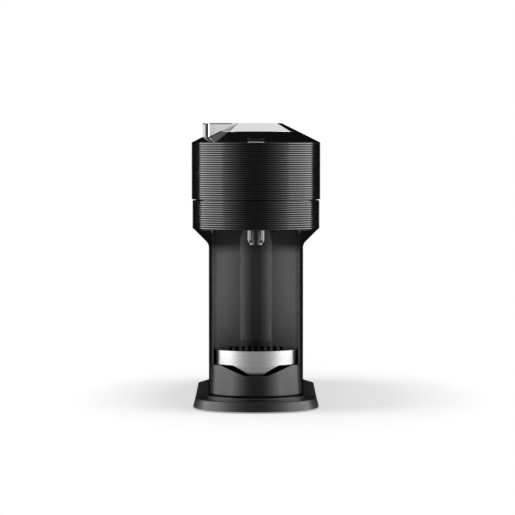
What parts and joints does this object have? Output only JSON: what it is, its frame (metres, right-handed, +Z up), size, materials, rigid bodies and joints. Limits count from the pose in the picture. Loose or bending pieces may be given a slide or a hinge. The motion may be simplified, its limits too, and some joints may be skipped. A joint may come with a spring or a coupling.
{
  "type": "pod coffee machine",
  "caption": "Upright capsule coffee machine with a ribbed round head that hinges open, a locking lever, cup niche, sliding drip base, capsule bin and rear water tank.",
  "frame": {"origin": "middle of the footprint, on the surface the feet stand on", "axes": "+Z up, -Y towards the user (cup niche side), +X to the user's right"},
  "size_m": [0.142, 0.429, 0.3139],
  "materials": {
    "gloss_black": "high gloss",
    "satin_black": "satin, finely ribbed",
    "inner_black": "moulded",
    "inner_grey": "moulded",
    "smoke_clear": "smoked, see-through",
    "bright_chrome": "polished",
    "satin_silver": "satin",
    "steel": "brushed",
    "cast_alloy": "as cast",
    "copper_coil": "varnished windings",
    "black_rubber": "matt",
    "clear_hose": "silicone",
    "board_green": "solder mask",
    "light_lens": "milky lens"
  },
  "bodies": {
    "base": {"rubber_feet": "black_rubber", "base_plate": "inner_black", "base_screws": "steel", "base_collar": "gloss_black", "column_shell": "gloss_black", "lower_drum": "satin_black", "coffee_collector": "inner_grey", "coffee_spout": "gloss_black", "code_reader": "inner_black", "lock_claws": "steel", "hinge_bracket": "inner_black", "hinge_pins": "steel", "right_housing": "satin_black", "left_housing": "satin_black", "rear_deck": "gloss_black", "capsule_chute": "inner_black", "chassis": "inner_grey", "tank_plinth": "satin_black", "cord_gland": "black_rubber", "tank_socket": "inner_grey", "socket_seal": "black_rubber", "flow_meter": "inner_grey", "pump": "inner_black", "pump_mounts": "black_rubber", "heater": "cast_alloy", "control_board": "board_green", "suction_hoses": "clear_hose", "pressure_hose": "clear_hose", "hot_hose": "clear_hose"},
    "lid": {"lid_shell": "satin_black", "lid_frame": "inner_black", "lid_cap": "gloss_black", "motor_stator": "copper_coil", "motor_housing": "inner_grey", "shaft_bearings": "steel", "water_feed": "inner_grey", "lid_hose": "clear_hose", "status_light": "light_lens", "button_spring": "steel", "button_board": "board_green"},
    "lever": {"lever_trim": "bright_chrome", "lever_hub": "gloss_black", "lever_spider": "inner_black", "lock_ring": "inner_grey"},
    "button": {"brew_button": "gloss_black"},
    "injector": {"injector_plate": "steel", "injector_shaft": "steel", "motor_rotor": "steel"},
    "holder": {"capsule_holder": "inner_grey"},
    "ejector": {"capsule_ejector": "inner_black"},
    "drip_drawer": {"drip_base": "gloss_black"},
    "support": {"cup_support": "satin_black", "support_front_plate": "satin_silver"},
    "grid": {"drip_grid": "satin_black"},
    "container": {"capsule_container": "satin_black", "container_cover": "gloss_black"},
    "tank": {"water_tank": "smoke_clear", "tank_valve_spring": "steel"},
    "tank_flap": {"tank_lid": "gloss_black"},
    "valve": {"tank_valve_stem": "inner_grey"}
  },
  "joints": [
    {"name": "lid_hinge", "type": "hinge", "parent": "base", "child": "lid", "pos_m": [0, -0.0665, 0.236], "axis": [-1, 0, 0], "range_deg": [0, 62]},
    {"name": "lever_turn", "type": "hinge", "parent": "lid", "child": "lever", "pos_m": [0, -0.1435, 0.303], "axis": [0, 0, 1], "range_deg": [0, 40]},
    {"name": "button_press", "type": "slide", "parent": "lid", "child": "button", "axis": [0, 0.4472, -0.8944], "range_m": [0, 0.0015], "stiffness_N_per_m": 800, "deforming": ["button_spring"]},
    {"name": "injector_spin", "type": "hinge", "parent": "lid", "child": "injector", "pos_m": [0, -0.1435, 0.26], "axis": [0, 0, 1], "continuous": true},
    {"name": "holder_spin", "type": "hinge", "parent": "base", "child": "holder", "pos_m": [0, -0.1435, 0.215], "axis": [0, 0, 1], "continuous": true},
    {"name": "ejector_tilt", "type": "hinge", "parent": "base", "child": "ejector", "pos_m": [0, -0.0935, 0.2242], "axis": [-1, 0, 0], "range_deg": [0, 37.2]},
    {"name": "drip_slide", "type": "slide", "parent": "base", "child": "drip_drawer", "axis": [0, -1, 0], "range_m": [0, 0.12]},
    {"name": "support_lift", "type": "slide", "parent": "drip_drawer", "child": "support", "axis": [0, 0, 1], "range_m": [0, 0.03]},
    {"name": "grid_lift", "type": "slide", "parent": "support", "child": "grid", "axis": [0, 0, 1], "range_m": [0, 0.02]},
    {"name": "container_lift", "type": "slide", "parent": "base", "child": "container", "axis": [0, 0, 1], "range_m": [0, 0.19]},
    {"name": "tank_lift", "type": "slide", "parent": "base", "child": "tank", "axis": [0, 0, 1], "range_m": [0, 0.1]},
    {"name": "tank_flap_hinge", "type": "hinge", "parent": "tank", "child": "tank_flap", "pos_m": [0, 0.2065, 0.2363], "axis": [-1, 0, 0], "range_deg": [0, 100]},
    {"name": "valve_lift", "type": "slide", "parent": "tank", "child": "valve", "axis": [0, 0, 1], "range_m": [0, 0.0015], "stiffness_N_per_m": 300, "deforming": ["tank_valve_spring"]}
  ],
  "couplings": [
    {"joint": "holder_spin", "follows": "injector_spin", "ratio": 1},
    {"joint": "ejector_tilt", "follows": "lid_hinge", "ratio": 0.6}
  ]
}
